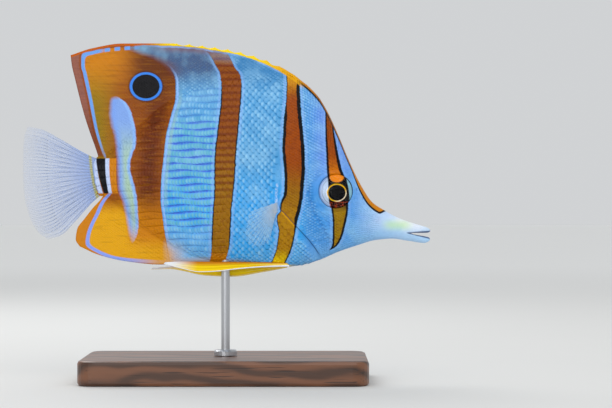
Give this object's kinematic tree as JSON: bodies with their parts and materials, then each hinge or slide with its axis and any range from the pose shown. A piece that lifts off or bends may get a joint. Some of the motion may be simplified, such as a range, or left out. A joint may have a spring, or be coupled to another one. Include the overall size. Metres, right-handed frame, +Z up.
{
  "type": "copperband butterflyfish model",
  "caption": "Life-size copperband butterflyfish with a long beak, banded disc-shaped body and tall fins, held level by a rod on a flat display base.",
  "frame": {"origin": "middle of the stand base's underside, on the floor", "axes": "+X towards the fish's snout, +Y to the fish's left, +Z up; the fish swims level"},
  "size_m": [0.1502, 0.058, 0.1236],
  "materials": {
    "skin_pale": "wet pale blue fish skin with small scales",
    "skin_orange": "wet orange-brown fish skin",
    "fin_yellow": "yellow fin with fine rays",
    "fin_clear": "see-through pale fin with fine rays",
    "eye": "glossy eye",
    "walnut": "satin dark wood",
    "steel": "fine brushed"
  },
  "bodies": {
    "root": {"stand_base": "walnut", "stand_rod": "steel", "snout": "skin_pale", "upper_jaw": "skin_pale", "lower_jaw": "skin_pale", "head": "skin_pale", "gill_cover_left": "skin_pale", "gill_cover_right": "skin_pale", "eye_left": "eye", "eye_right": "eye", "trunk": "skin_pale", "tail_stalk": "skin_pale", "dorsal_fin_spiny": "fin_yellow", "dorsal_fin_soft": "skin_orange", "anal_fin": "fin_yellow", "caudal_fin": "fin_clear", "pelvic_fin_left": "fin_yellow", "pelvic_fin_right": "fin_yellow", "pectoral_fin_left": "fin_clear", "pectoral_fin_right": "fin_clear"}
  },
  "joints": []
}
